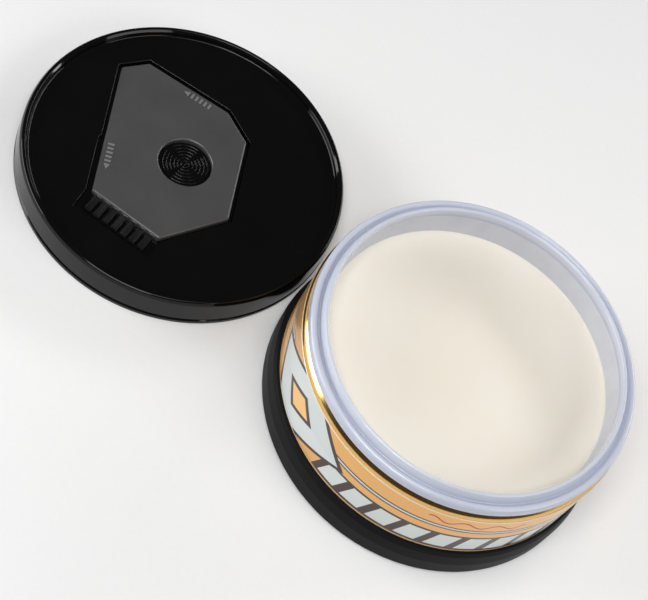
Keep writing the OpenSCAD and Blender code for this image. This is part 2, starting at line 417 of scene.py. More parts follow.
@dataclass(frozen=True)
class ToolPlastic:
    """Satin dark grey plastic with a fine spark-eroded texture, and a painted highlight: paler on the tops of
    its raised marks.
    """

    face: float
    name: str = "tool_plastic"
    deep: Colour = colour(62, 62, 63)
    pale: Colour = colour(78, 78, 79)
    # colour of the painted highlight on the tops of the raised marks
    rubbed: Colour = colour(116, 116, 116)

    def make(self) -> bpy.types.Material:
        """Build the material."""
        paint = Paint(self.name)
        spark = paint.grain(0.22 * MM, paint.place(), detail=4, rough=0.6)
        drift = paint.grain(12 * MM, paint.place(), detail=3)
        _, _, z = paint.axes(paint.place())
        base = paint.mix((0.7 * drift + 0.3 * spark).held(), self.deep, self.pale)
        paint.set(
            # painted highlight: above the plate's face the tops of the marks take the paler colour
            Base_Color=paint.mix(z.over(self.face + 0.08 * MM, 0.04 * MM), base, self.rubbed),
            Roughness=0.22 + 0.1 * spark + 0.05 * drift,
            Specular_IOR_Level=0.55,
        )
        paint.relief(spark, 0.012 * MM, 0.5)
        return paint.material


@dataclass(frozen=True)
class Nylon:
    """Black nylon bristle with a slight sheen along it."""

    name: str = "tuft_nylon"
    black: Colour = colour(8, 8, 9)
    pale: Colour = colour(22, 22, 24)

    def make(self) -> bpy.types.Material:
        """Build the material."""
        paint = Paint(self.name)
        strand = paint.grain(0.35 * MM, paint.place(), detail=2)
        paint.set(
            Base_Color=paint.mix(strand, self.black, self.pale),
            Roughness=0.3 + 0.15 * strand,
        )
        paint.relief(strand, 0.01 * MM, 0.4)
        return paint.material


@dataclass(frozen=True)
class Foam:
    """Off-white sealing foam with small open cells."""

    name: str = "liner_foam"
    pale: Colour = colour(233, 230, 221)
    deep: Colour = colour(198, 193, 180)

    def make(self) -> bpy.types.Material:
        """Build the material."""
        paint = Paint(self.name)
        cell = paint.cells(0.45 * MM, paint.place())
        patch = paint.grain(7 * MM, paint.place(), detail=3)
        paint.set(
            Base_Color=paint.mix((0.7 * cell + 0.3 * patch).held(), self.deep, self.pale),
            Roughness=0.82 + 0.08 * patch,
        )
        paint.relief(cell, 0.12 * MM, 0.6)
        return paint.material


@dataclass(frozen=True)
class Tinplate:
    """Bright tinplate with a faint crystal spangle and turning marks."""

    name: str = "plain_tinplate"
    pale: Colour = colour(206, 206, 203)
    deep: Colour = colour(168, 169, 168)

    def make(self) -> bpy.types.Material:
        """Build the material."""
        paint = Paint(self.name)
        spangle = paint.cells(3 * MM, paint.place(), output="Color")
        x, y, _ = paint.axes(paint.place())
        turned = ((x * x + y * y).power(0.5) * (TURN / (0.35 * MM))).sine()
        paint.set(
            Base_Color=paint.mix((0.6 * spangle + 0.1 * turned).held(), self.deep, self.pale),
            Metallic=1.0,
            Roughness=0.26 + 0.12 * spangle + 0.03 * turned,
        )
        paint.relief(0.5 * turned + 0.5, 0.006 * MM, 0.4)
        return paint.material


@dataclass(frozen=True)
class SealCompound:
    """Grey rubbery sealing compound."""

    name: str = "seal_compound"
    pale: Colour = colour(150, 152, 154)
    deep: Colour = colour(112, 114, 118)

    def make(self) -> bpy.types.Material:
        """Build the material."""
        paint = Paint(self.name)
        lump = paint.grain(0.8 * MM, paint.place(), detail=4)
        paint.set(Base_Color=paint.mix(lump, self.deep, self.pale), Roughness=0.6 + 0.2 * lump)
        paint.relief(lump, 0.05 * MM, 0.5)
        return paint.material


@dataclass(frozen=True)
class FloorPaper:
    """Seamless white paper."""

    name: str = "floor_paper"
    pale: Colour = (0.88, 0.88, 0.88)
    deep: Colour = (0.85, 0.85, 0.85)

    def make(self) -> bpy.types.Material:
        """Build the material."""
        paint = Paint(self.name)
        fibre = paint.grain(2 * MM, paint.place(), detail=5)
        paint.set(Base_Color=paint.mix(fibre, self.deep, self.pale), Roughness=0.7 + 0.1 * fibre)
        return paint.material


@dataclass(frozen=True)
class LabelPrint:
    """Glossy metallic film, printed with plain shapes.

    The print is laid out in millimetres: across from the point that faces the camera, positive
    to the right, and up from the film's lower edge.
    """

    girth: float
    height: float
    front: float
    name: str = "label_film"
    gold: Colour = colour(228, 160, 70)
    gold_pale: Colour = colour(240, 190, 118)
    silver: Colour = colour(214, 221, 219)
    brown: Colour = colour(52, 27, 18)
    red: Colour = colour(186, 38, 18)
    orange: Colour = colour(232, 164, 62)
    ink: Colour = colour(40, 32, 26)
    slant: float = 0.34
    crisp: float = 0.07

    def _box(self, x: Num, y: Num, centre: Point, size: Point, grown: float = 0.0) -> Num:
        """Return a mask of a rectangle, grown by a margin on all sides."""
        wide = size[0] / 2 + grown - abs(x - centre[0])
        high = size[1] / 2 + grown - abs(y - centre[1])
        return (wide & high).over(0.0, self.crisp)

    def _lozenge(self, x: Num, y: Num, centre: Point, size: Point, grown: float = 0.0) -> Num:
        """Return a mask of a diamond of the given width and height."""
        reach = abs(x - centre[0]) / (size[0] / 2) + abs(y - centre[1]) / (size[1] / 2)
        steep = 1 / math.hypot(2 / size[0], 2 / size[1])
        return ((1.0 - reach) * steep + grown).over(0.0, self.crisp)

    def _blocks(self, x: Num, y: Num, first: float, last: float, pitch: float, size: Point,
                level: float, grown: float = 0.0) -> Num:
        """Return a mask of a row of equal blocks between two places across the label."""
        step = ((x - first) / pitch).part() * pitch - pitch / 2
        row = self._box(step, y, (0.0, level), size, grown)
        middle, reach = (first + last) / 2, (last - first) / 2
        return row & (reach + grown - abs(x - middle)).over(0.0, self.crisp)

    def _fine_print(self, paint: Paint, x: Num, y: Num, middle: float, width: float) -> Num:
        """Return a mask of rows of short dashes of uneven length, standing for small print."""
        row = (y / 1.7).whole()
        flick = paint.node("ShaderNodeTexWhiteNoise", {"noise_dimensions": "2D"}, {
            "Vector": paint.node("ShaderNodeCombineXYZ", sockets={
                0: (x / 1.9).whole(), 1: row, 2: 0.0}).outputs[0]})
        dash = 1 - Num(paint, flick.outputs[0]).over(0.72, 0.01)
        line = (0.17 - abs((y / 1.7).part() - 0.5)).over(0.0, 0.06)
        inside = self._box(x, y, (middle, self.height / 2), (width, self.height - 7))
        return dash & line & inside

    def make(self) -> bpy.types.Material:
        """Build the material."""
        paint = Paint(self.name)
        uv = paint.node("ShaderNodeUVMap", {"uv_map": "wrap"}).outputs[0]
        u, v, _ = paint.axes(uv)
        across = (u - self.front) * self.girth
        up = v * self.height
        lean = across - self.slant * (up - self.height / 2)
        mid = self.height / 2

        sparkle = paint.grain(0.16 * MM, paint.place(), detail=1)
        cloud = paint.grain(25 * MM, paint.place(), detail=2)
        tone = paint.mix((0.5 * cloud + 0.5 * sparkle).held(), self.gold, self.gold_pale)

        # the far side is a plain orange panel with dark bars
        side = abs(across)
        panel = side.over(self.girth * 0.27, self.crisp)
        tone = paint.mix(panel, tone, self.orange)
        bars = self._blocks(side, up, self.girth * 0.29, self.girth * 0.46, 6.4, (4.4, 0.15 * self.height),
                            0.76 * self.height)
        bars = bars | self._blocks(side, up, self.girth * 0.29, self.girth * 0.49, 8.4,
                                   (6.2, 0.2 * self.height), 0.49 * self.height)
        rule = self._box(side, up, (self.girth * 0.385, 0.33 * self.height), (self.girth * 0.2, 0.35))
        small = self._fine_print(paint, side, up, self.girth * 0.385, self.girth * 0.19)
        small = small & (0.29 * self.height - up).over(0.0, self.crisp)
        tone = paint.mix((bars | rule | small) & panel, tone, self.ink)

        # pinstripe round the whole front
        stripe_y = 0.66 * self.height
        backing = self._box(across, up, (0.0, stripe_y), (self.girth * 0.52, 0.9), 0.65)
        tone = paint.mix(backing, tone, self.brown)
        stripe = self._box(across, up, (0.0, stripe_y), (self.girth * 0.52, 0.9))

        # row of slanted blocks on a dark band
        first, last, pitch, level = -12.0, 78.0, 10.0, 0.26 * self.height
        size = (7.1, 0.35 * self.height)
        band = self._blocks(lean, up, first, last, pitch, (pitch, size[1]), level, 1.1)
        blocks = self._blocks(lean, up, first, last, pitch, size, level)
        tone = paint.mix(band, tone, self.brown)

        # large faceted badge
        badge_at, badge = (-33.0, mid), (48.0, 1.36 * self.height)
        edge = self._lozenge(lean, up, badge_at, badge, 1.5)
        face = self._lozenge(lean, up, badge_at, badge)
        core = self._lozenge(lean, up, badge_at, (15.0, 0.42 * self.height), 1.3)
        gem = self._lozenge(lean, up, badge_at, (15.0, 0.42 * self.height), -0.3)
        tone = paint.mix(edge, tone, self.brown)
        silver = (stripe & (1 - edge)) | (blocks & (1 - edge)) | (face & (1 - core))
        facet = ((lean - badge_at[0]) * (up - mid)).over(0.0, 0.5)
        plate = paint.mix(0.14 * facet + 0.1 * sparkle, self.silver, colour(178, 188, 190))
        tone = paint.mix(silver, tone, plate)
        tone = paint.mix(gem, tone, self.gold_pale)

        # thin red wave
        wave_y = 0.83 * self.height
        wave = up - wave_y - 1.2 * ((across - 20.0) * 0.6).sine()
        wave_room = self._box(across, up, (37.0, wave_y), (31.5, 5.0))
        flourish = (0.38 - abs(wave)).over(0.0, self.crisp) & wave_room
        tone = paint.mix(flourish, tone, self.red)
        print_left = self._fine_print(paint, across, up, -80.0, 15.0)
        tone = paint.mix(0.8 * print_left, tone, self.silver)

        # bare edge of the film
        margin = up.over(self.height - 0.55, self.crisp) | (0.45 - up).over(0.0, self.crisp)
        tone = paint.mix(margin, tone, colour(240, 224, 196))

        dark = (band | edge | backing) & (1 - silver)
        paint.set(
            Base_Color=tone,
            Metallic=(0.62 - 0.5 * dark - 0.28 * silver - 0.5 * (panel & (1 - silver))).held(),
            Roughness=0.36 + 0.1 * sparkle,
            Coat_Weight=0.6,
            Coat_Roughness=0.03,
            Coat_IOR=1.5,
            Specular_IOR_Level=0.15,
        )
        paint.relief(0.4 * sparkle + 0.6 * silver, 0.01 * MM, 0.25)
        return paint.material


# ---------------------------------------------------------------- mesh building


def rounded(corners: Sequence[tuple[float, ...]], steps: int = 6) -> list[Point]:
    """Round the corners of a closed outline.

    Args:
        corners: Points as (x, y) or (x, y, radius), in order round the outline.
        steps: Pieces in each rounded corner.

    Returns:
        The outline's points.
    """
    made: list[Point] = []
    count = len(corners)
    for index, corner in enumerate(corners):
        at = Vector(corner[:2])
        radius = corner[2] if len(corner) > 2 else 0.0
        back = Vector(corners[index - 1][:2]) - at
        ahead = Vector(corners[(index + 1) % count][:2]) - at
        if radius <= 0 or back.length < 1e-9 or ahead.length < 1e-9:
            made.append(tuple(at))
            continue
        half = back.angle(ahead) / 2
        run = min(radius / math.tan(half), 0.49 * back.length, 0.49 * ahead.length)
        radius = run * math.tan(half)
        middle = (back.normalized() + ahead.normalized()).normalized()
        centre = at + middle * (radius / math.sin(half))
        start, end = at + back.normalized() * run, at + ahead.normalized() * run
        a, b = start - centre, end - centre
        swing = math.atan2(a.x * b.y - a.y * b.x, a.dot(b))
        for step in range(steps + 1):
            turn = swing * step / steps
            c, s = math.cos(turn), math.sin(turn)
            made.append((centre.x + a.x * c - a.y * s, centre.y + a.x * s + a.y * c))
    return made


def arc(centre: Point, radius: float, start: float, end: float, steps: int = 10) -> list[Point]:
    """Return points of an arc, with its angles in degrees."""
    angles = [math.radians(start + (end - start) * i / steps) for i in range(steps + 1)]
    return [(centre[0] + radius * math.cos(a), centre[1] + radius * math.sin(a)) for a in angles]


def plain_mesh(thing: bpy.types.Object) -> bpy.types.Object:
    """Bake an object's modifiers into its own mesh."""
    depsgraph = bpy.context.evaluated_depsgraph_get()
    baked = bpy.data.meshes.new_from_object(thing.evaluated_get(depsgraph), depsgraph=depsgraph)
    thing.modifiers.clear()
    old, thing.data = thing.data, baked
    bpy.data.meshes.remove(old)
    baked.name = thing.name
    return thing


def smooth(thing: bpy.types.Object) -> bpy.types.Object:
    """Shade a piece smooth between its sharp edges, with flats kept flat."""
    thing.data.shade_smooth()
    thing.data.set_sharp_from_angle(angle=SMOOTH_LIMIT)
    weigh = thing.modifiers.new("weigh", "WEIGHTED_NORMAL")
    weigh.keep_sharp = True
    return plain_mesh(thing)


class Skin:
    """Gathers the points and faces of one closed surface."""

    def __init__(self) -> None:
        """Start with no points."""
        self.points: list[tuple[float, float, float]] = []
        self.faces: list[tuple[int, ...]] = []

    def loop(self, points: Iterable[Sequence[float]]) -> list[int]:
        """Add a closed loop of points and return their numbers."""
        first = len(self.points)
        self.points.extend(tuple(p) for p in points)
        return list(range(first, len(self.points)))

    def circle(self, centre: Point, radius: float, z: float, segments: int) -> list[int]:
        """Add a level circle and return its points' numbers."""
        angles = [TURN * i / segments for i in range(segments)]
        return self.loop(
            (centre[0] + radius * math.cos(a), centre[1] + radius * math.sin(a), z) for a in angles
        )

    def band(self, *loops: list[int]) -> None:
        """Join loops of equal length, one after the other."""
        for low, high in zip(loops, loops[1:]):
            count = len(low)
            for i in range(count):
                j = (i + 1) % count
                self.faces.append((low[i], low[j], high[j], high[i]))

    def lathe(self, centre: Point, profile: Sequence[Point], segments: int) -> tuple[list[int], list[int]]:
        """Turn an open profile of (radius, height) about an upright axis; return its end loops."""
        loops = [self.circle(centre, r, z, segments) for r, z in profile]
        self.band(*loops)
        return loops[0], loops[-1]

    def pole(self, loop: list[int], point: Sequence[float]) -> None:
        """Close a loop to one point."""
        tip = self.loop([point])[0]
        for i in range(len(loop)):
            self.faces.append((loop[i], loop[(i + 1) % len(loop)], tip))

    def cap(self, *loops: list[int]) -> None:
        """Fill a flat face bounded by an outer loop and any inner ones."""
        rings = [[Vector(self.points[i]) for i in loop] for loop in loops]
        numbers = [i for loop in loops for i in loop]
        for triangle in tessellate_polygon(rings):
            self.faces.append(tuple(numbers[i] for i in triangle))

    def make(self, name: str) -> bpy.types.Object:
        """Make the object, with its doubles merged and its faces turned outwards."""
        mesh = bpy.data.meshes.new(name)
        mesh.from_pydata(self.points, [], self.faces)
        work = bmesh.new()
        work.from_mesh(mesh)
        bmesh.ops.remove_doubles(work, verts=work.verts, dist=1e-7)
        bmesh.ops.dissolve_degenerate(work, edges=work.edges, dist=1e-8)
        bmesh.ops.recalc_face_normals(work, faces=work.faces)
        work.to_mesh(mesh)
        work.free()
        thing = bpy.data.objects.new(name, mesh)
        bpy.context.scene.collection.objects.link(thing)
        return thing


def turned(name: str, outline: Sequence[Point], centre: Point = (0.0, 0.0),
           segments: int = 256) -> bpy.types.Object:
    """Turn a closed outline about an upright axis.

    Args:
        name: The piece's name.
        outline: Points of (radius, height), anticlockwise; those on the axis become poles.
        centre: Where the axis stands.
        segments: Steps round the axis.

    Returns:
        The piece.
    """
    skin = Skin()
    on_axis = [p for p in outline if p[0] < 1e-9]
    rest = [p for p in outline if p[0] >= 1e-9]
    first, last = skin.lathe(centre, rest, segments)
    if on_axis:
        skin.pole(first, (*centre, rest[0][1]))
        skin.pole(last, (*centre, rest[-1][1]))
    else:
        skin.band(last, first)
    return smooth(skin.make(name))


@dataclass(frozen=True)
class Outline:
    """A flat outline with rounded corners that can be grown and laid at any height."""

    corners: tuple[Point, ...]
    radius: float
    steps: int = 6

    def loop(self, grown: float, z: float) -> list[tuple[float, float, float]]:
        """Return the outline's points, moved outwards by a distance, at a height."""
        made = []
        count = len(self.corners)
        for i, corner in enumerate(self.corners):
            at = Vector(corner)
            before = (at - Vector(self.corners[i - 1])).normalized()
            after = (Vector(self.corners[(i + 1) % count]) - at).normalized()
            a, b = Vector((before.y, -before.x)), Vector((after.y, -after.x))
            outward = 1 if before.x * after.y - before.y * after.x > 0 else -1
            centre = at - outward * self.radius * (a + b) / (1 + a.dot(b))
            swing = math.atan2(a.x * b.y - a.y * b.x, a.dot(b))
            for step in range(self.steps + 1):
                turn = swing * step / self.steps
                c, s = math.cos(turn), math.sin(turn)
                way = Vector((a.x * c - a.y * s, a.x * s + a.y * c))
                spot = centre + (outward * self.radius + grown) * way
                made.append((spot.x, spot.y, z))
        return made

    def moved(self, turn: float, shift: Point) -> "Outline":
        """Return a copy turned by an angle in degrees and then shifted."""
        c, s = math.cos(math.radians(turn)), math.sin(math.radians(turn))
        spots = tuple((x * c - y * s + shift[0], x * s + y * c + shift[1]) for x, y in self.corners)
        return Outline(spots, self.radius, self.steps)


def grown(corners: Sequence[Point], margin: float) -> tuple[Point, ...]:
    """Return an anticlockwise outline moved outwards by a margin, with its corners kept sharp."""
    made = []
    for i, corner in enumerate(corners):
        at = Vector(corner)
        before = (at - Vector(corners[i - 1])).normalized()
        after = (Vector(corners[(i + 1) % len(corners)]) - at).normalized()
        a, b = Vector((before.y, -before.x)), Vector((after.y, -after.x))
        made.append(tuple(at + margin * (a + b) / (1 + a.dot(b))))
    return tuple(made)


# ---------------------------------------------------------------- geometry nodes


class Growth:
    """A geometry-nodes tree with named inputs."""

    def __init__(self, name: str, inputs: dict[str, tuple[str, object]]) -> None:
        """Make the tree.

        Args:
            name: The tree's name.
            inputs: For each named input, its socket type and its value.
        """
        self.tree = bpy.data.node_groups.new(name, "GeometryNodeTree")
        self.values = {}
        self.tree.interface.new_socket("Geometry", in_out="INPUT", socket_type="NodeSocketGeometry")
        for key, (kind, value) in inputs.items():
            socket = self.tree.interface.new_socket(key, in_out="INPUT", socket_type=kind)
            self.values[socket.identifier] = value
        self.tree.interface.new_socket("Geometry", in_out="OUTPUT", socket_type="NodeSocketGeometry")
        self.given = self.tree.nodes.new("NodeGroupInput")
        self.result = self.tree.nodes.new("NodeGroupOutput")

    def node(self, kind: str, settings: dict | None = None, sockets: dict | None = None) -> bpy.types.Node:
        """Add a node, with its settings first and then its sockets' values or links."""
        made = self.tree.nodes.new(kind)
        for key, value in (settings or {}).items():
            setattr(made, key, value)
        for key, value in (sockets or {}).items():
            if isinstance(value, bpy.types.NodeSocket):
                self.tree.links.new(value, made.inputs[key])
            else:
                made.inputs[key].default_value = value
        return made

    def maths(self, operation: str, first: object, second: object) -> bpy.types.NodeSocket:
        """Add a Math node and return its output."""
        return self.node("ShaderNodeMath", {"operation": operation}, {0: first, 1: second}).outputs[0]

    def run(self, name: str, geometry: bpy.types.NodeSocket, material: bpy.types.Material,
            source: bpy.types.Mesh | None = None) -> bpy.types.Object:
        """Finish the tree, run it once on a new object and keep only the plain mesh.

        Args:
            name: The piece's name.
            geometry: What the tree made.
            material: The piece's finish.
            source: A mesh that the tree starts from, if it needs one.

        Returns:
            The piece.
        """
        real = self.node("GeometryNodeRealizeInstances", sockets={"Geometry": geometry})
        dressed = self.node(
            "GeometryNodeSetMaterial", sockets={"Geometry": real.outputs[0], "Material": material},
        )
        self.tree.links.new(dressed.outputs[0], self.result.inputs[0])
        thing = bpy.data.objects.new(name, source or bpy.data.meshes.new(name))
        bpy.context.scene.collection.objects.link(thing)
        modifier = thing.modifiers.new("growth", "NODES")
        modifier.node_group = self.tree
        for identifier, value in self.values.items():
            modifier[identifier] = value
        return plain_mesh(thing)


def swept_ring(name: str, outline: Sequence[Point], material: bpy.types.Material,
               segments: int = 288) -> bpy.types.Object:
    """Sweep a closed outline of (radius, height) round the tin's axis with geometry nodes."""
    middle = (min(p[0] for p in outline) + max(p[0] for p in outline)) / 2
    source = bpy.data.meshes.new(name)
    count = len(outline)
    source.from_pydata(
        [(r - middle, -z, 0.0) for r, z in outline], [(i, (i + 1) % count) for i in range(count)], []
    )
    growth = Growth("ring_sweep", {
        "Path Radius": ("NodeSocketFloat", middle),
        "Steps": ("NodeSocketInt", segments),
    })
    section = growth.node("GeometryNodeMeshToCurve", sockets={"Mesh": growth.given.outputs["Geometry"]})
    path = growth.node("GeometryNodeCurvePrimitiveCircle", sockets={
        "Resolution": growth.given.outputs["Steps"], "Radius": growth.given.outputs["Path Radius"],
    })
    swept = growth.node("GeometryNodeCurveToMesh", sockets={
        "Curve": path.outputs[0], "Profile Curve": section.outputs[0],
    })
    return growth.run(name, swept.outputs[0], material, source)


# ---------------------------------------------------------------- pieces


class Body(Enum):
    """The bodies that pieces ride on."""

    TIN = "tin"
    LID = "lid"
    TOOL = "tool"


def span(node: str) -> tuple[Vector, Vector]:
    """Return a CAD node's lowest and highest corners."""
    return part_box(node)


def install(thing: bpy.types.Object, body: Body, node: str | None = None,
            finish: bpy.types.Material | None = None) -> bpy.types.Object:
    """Dress a piece, put it on its body and let it stand for a CAD node.

    Args:
        thing: The piece.
        body: The body that it rides on.
        node: The CAD node that it replaces, if any.
        finish: Its material, if it has none yet.

    Returns:
        The piece.
    """
    if finish is not None:
        thing.data.materials.clear()
        thing.data.materials.append(finish)
    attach(thing, body.value)
    if node is not None:
        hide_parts(node)
    LOG.info("%s: %d faces on %s", thing.name, len(thing.data.polygons), body.value)
    return thing


@dataclass
class Tin:
    """The tin: can, base ring, label, cup, rim ring and wax."""

    sheet: float = 0.4 * MM
    hem: float = 1.2 * MM
    shoulder_h: float = 2.8 * MM
    neck_h: float = 1.2 * MM
    rim_w: float = 4.2 * MM
    can_r: float = field(init=False)
    neck_r: float = field(init=False)
    neck_top: float = field(init=False)

    def __post_init__(self) -> None:
        """Read the sizes that several pieces share."""
        self.can_r = span("can_wall")[1].x
        self.neck_top = span("can_wall")[1].z
        self.neck_r = span("inner_cup")[1].x

    def wall(self) -> bpy.types.Object:
        """Build the can wall with its drawn-in shoulder and folded hem."""
        low = span("can_wall")[0].z
        neck_low = self.neck_top - self.neck_h
        label_top = neck_low - self.shoulder_h
        outer = rounded([
            (self.can_r, low), (self.can_r, label_top + 0.5 * MM, 3.2 * MM),
            (self.neck_r, neck_low, 1.3 * MM), (self.neck_r, self.neck_top - self.sheet),
        ], 8)
        t = self.sheet
        top = arc((self.neck_r - t, self.neck_top - t), t, 0, 180, 8)
        hem = [(self.neck_r - 2 * t, self.neck_top - self.hem), (self.neck_r - t, self.neck_top - self.hem)]
        inner = [(r - t, z) for r, z in reversed(outer[:-1])]
        return install(
            turned("can_wall_skin", [*outer, *top, *hem, *inner], segments=288),
            Body.TIN, "can_wall", GoldLacquer().make(),
        )

    def base(self) -> bpy.types.Object:
        """Build the pressed base with its seam."""
        low, high = span("can_base")
        seam_r, seam_top = high.x, low.z + 2.8 * MM
        t, panel, step = self.sheet, low.z + 2.0 * MM, 1.1 * MM
        r0, r1 = self.can_r * 0.66, self.can_r * 0.83
        leg = self.can_r - 2 * t - 0.05 * MM
        slot_in, slot_out = self.can_r - t - 0.05 * MM, self.can_r + 0.05 * MM
        b = 0.5 * MM
        outline = rounded([
            (0.0, panel), (r0, panel, b), (r0 + step, panel + step, b), (r1 - step, panel + step, b),
            (r1, panel, b), (leg, panel, 0.3 * MM), (leg, low.z, 0.35 * MM), (seam_r, low.z, 0.35 * MM),
            (seam_r, seam_top, 0.1 * MM), (slot_out, seam_top), (slot_out, low.z + t), (slot_in, low.z + t),
            (slot_in, panel + t, 0.3 * MM), (r1 + 0.4 * t, panel + t, b),
            (r1 - step + 0.4 * t, panel + step + t, b), (r0 + step - 0.4 * t, panel + step + t, b),
            (r0 - 0.4 * t, panel + t, b), (0.0, panel + t),
        ], 4)
        skin = turned("can_base_skin", outline)
        return install(skin, Body.TIN, "can_base", Tinplate().make())

    def foot(self) -> bpy.types.Object:
        """Build the rubber base ring: rounded shoulder, thin lip against the wall, mould line."""
        low, high = span("base_ring")
        seam_low, seam_high = span("can_base")
        r, h, hug = high.x, high.z, self.can_r + 0.05 * MM
        seat, seat_top = seam_high.x + 0.05 * MM, seam_low.z + 2.85 * MM
        lip_in = self.can_r - 2 * MM
        side = rounded([
            (lip_in, low.z), (r - 0.9 * MM, low.z, 0.15 * MM), (r - 0.35 * MM, 0.5 * MM, 0.15 * MM),
            (r - 0.35 * MM, 1.0 * MM, 0.1 * MM), (r, 1.2 * MM, 0.2 * MM), (r, 0.55 * h, 2.6 * MM),
            (r - 0.75 * MM, 0.86 * h, 1.2 * MM), (r - 1.5 * MM, h - 0.25 * MM, 0.4 * MM),
            (hug + 0.42 * MM, h - 0.3 * MM, 0.1 * MM), (hug + 0.36 * MM, h, 0.12 * MM), (hug, h, 0.05 * MM),
            (hug, seat_top), (seat, seat_top), (seat, seam_low.z), (lip_in, seam_low.z, 0.1 * MM),
        ], 7)
        skin = turned("base_ring_skin", side, segments=288)
        return install(skin, Body.TIN, "base_ring", MatteRubber().make())

    def cup(self) -> bpy.types.Object:
        """Build the moulded cup that holds the wax."""
        low, high = span("inner_cup")
        floor_z = span("wax_cake")[0].z
        mouth, wall, draft = self.cup_mouth(), 1.0 * MM, 0.8 * MM
        outline = rounded([
            (0.0, low.z), (mouth - draft + wall, low.z, 4 * MM), (mouth + wall, self.neck_top, 0.2 * MM),
            (high.x, self.neck_top), (high.x, high.z), (mouth, high.z, 0.12 * MM),
            (mouth - draft, floor_z, 3 * MM), (0.0, floor_z),
        ], 8)
        skin = turned("inner_cup_skin", outline)
        return install(skin, Body.TIN, "inner_cup", CupPlastic().make())

    def cup_mouth(self) -> float:
        """Return the radius of the cup's mouth."""
        return self.neck_r - self.rim_w

    def rim(self) -> bpy.types.Object:
        """Sweep the rim ring: outer bead, groove, sloping face and raised inner bead."""
        low, high = span("rim_ring")
        bead_r, top_r = 1.2 * MM, 0.7 * MM
        r, top, mouth = high.x, high.z, self.cup_mouth()
        bead_z = top - 1.8 * MM
        bead = (r - bead_r, bead_z - bead_r)
        groove_r, groove_z = r - 2 * bead_r - 0.3 * MM, bead_z - 1.1 * MM
        flange_top = span("inner_cup")[1].z
        outline = [
            (self.neck_r + 0.05 * MM, low.z), *rounded_corner((r, low.z), 0.3 * MM),
            *arc(bead, bead_r, 0, 90, 12), *arc((bead[0], groove_z), bead_z - groove_z, 98, 160, 7),
            *arc((groove_r - 0.1 * MM, groove_z + 0.35 * MM), 0.38 * MM, 290, 225, 5),
            *arc((mouth + top_r, top - top_r), top_r, 42, 180, 14),
            (mouth, flange_top + 0.15 * MM), (mouth + 0.15 * MM, flange_top),
            (self.neck_r + 0.05 * MM, flange_top),
        ]
        piece = swept_ring("rim_ring_skin", outline, RimPlastic(groove_z).make())
        return install(smooth(recalculated(piece)), Body.TIN, "rim_ring")

    def wax(self) -> bpy.types.Object:
        """Build the wax: cast body, gently dished top, edge drawn up the wall."""
        low, high = span("wax_cake")
        mouth, draft, flange_top = self.cup_mouth(), 0.8 * MM, span("inner_cup")[1].z
        lean = draft / (flange_top - low.z)
        top = high.z - 0.5 * MM
        edge_r = mouth - lean * (flange_top - high.z)
        side = rounded([(0.0, low.z), (mouth - draft, low.z, 3 * MM), (edge_r, high.z)], 8)
        creep = [(edge_r - 0.12 * MM, high.z - 0.02 * MM), (edge_r - 0.35 * MM, high.z - 0.17 * MM),
                 (edge_r - 0.7 * MM, top + 0.16 * MM), (edge_r - 1.3 * MM, top + 0.05 * MM)]
        rings = 64
        level = [((edge_r - 2 * MM) * (rings - i) / rings, top) for i in range(rings)]
        piece = turned("wax_cake_skin", [*side, *creep, *level, (0.0, top)], segments=256)
        for vertex in piece.data.vertices:
            if vertex.co.z > top - 0.01 * MM:
                vertex.co.z += self._ripple(vertex.co, edge_r)
        return install(piece, Body.TIN, "wax_cake", PasteWax((0.0, 0.0), edge_r).make())

    @staticmethod
    def _ripple(spot: Vector, edge_r: float) -> float:
        """Return how far the wax surface stands off its level at a place, in metres."""
        out = math.hypot(spot.x, spot.y) / edge_r
        fade = max(0.0, 1 - out ** 6)
        slow = noise.noise(Vector((spot.x, spot.y, 0.3)) / (26 * MM))
        fine = noise.noise(Vector((spot.x + 1, spot.y * 1.7, 0.1)) / (7 * MM))
        return fade * (0.10 * slow + 0.02 * fine - 0.16 * (1 - out ** 2)) * MM

    def label(self, front: float) -> bpy.types.Object:
        """Wrap the printed film round the wall, its end lapped over its start.

        Args:
            front: The direction that the print faces, in degrees.

        Returns:
            The piece.
        """
        low, high = span("label_wrap")
        film = high.x - self.can_r
        lap, steps = 8.0, 368
        start = 90 - lap / 2
        mesh = bpy.data.meshes.new("label_film_skin")
        points, faces, wraps = [], [], []
        rows = [
            (0.0, low.z), (0.6, low.z), (1.0, low.z + 0.06 * MM),
            (1.0, high.z - 0.06 * MM), (0.6, high.z), (0.0, high.z),
        ]
        for i in range(steps + 1):
            along = (360 + lap) * i / steps
            rise = min(1.0, max(0.0, (along - 360 + 3) / 3))
            base = self.can_r + film * rise * rise * (3 - 2 * rise)
            angle = math.radians(start + along)
            for out, z in rows:
                r = base + film * out * 0.98
                points.append((r * math.cos(angle), r * math.sin(angle), z))
                wraps.append((along / 360, (z - low.z) / (high.z - low.z)))
        count = len(rows)
        for i in range(steps):
            for j in range(count):
                a, b = i * count + j, i * count + (j + 1) % count
                faces.append((a, a + count, b + count, b))
        faces += [tuple(range(count)), tuple(reversed(range(steps * count, (steps + 1) * count)))]
        mesh.from_pydata(points, [], faces)
        layer = mesh.uv_layers.new(name="wrap")
        for loop in mesh.loops:
            layer.data[loop.index].uv = wraps[loop.vertex_index]
        piece = bpy.data.objects.new("label_film_skin", mesh)
        bpy.context.scene.collection.objects.link(piece)
        girth = TURN * (self.can_r + film) / MM
        share = ((front - start) % 360) / 360
        finish = LabelPrint(girth, (high.z - low.z) / MM, share)
        return install(smooth(recalculated(piece)), Body.TIN, "label_wrap", finish.make())

    def compound(self) -> None:
        """Dress the hidden sealing compound, whose CAD shape stays."""
        dress_node("seam_compound", SealCompound().make())


def rounded_corner(corner: Point, radius: float) -> list[Point]:
    """Return the points that round a lower outer corner."""
    return arc((corner[0] - radius, corner[1] + radius), radius, 270, 360, 5)


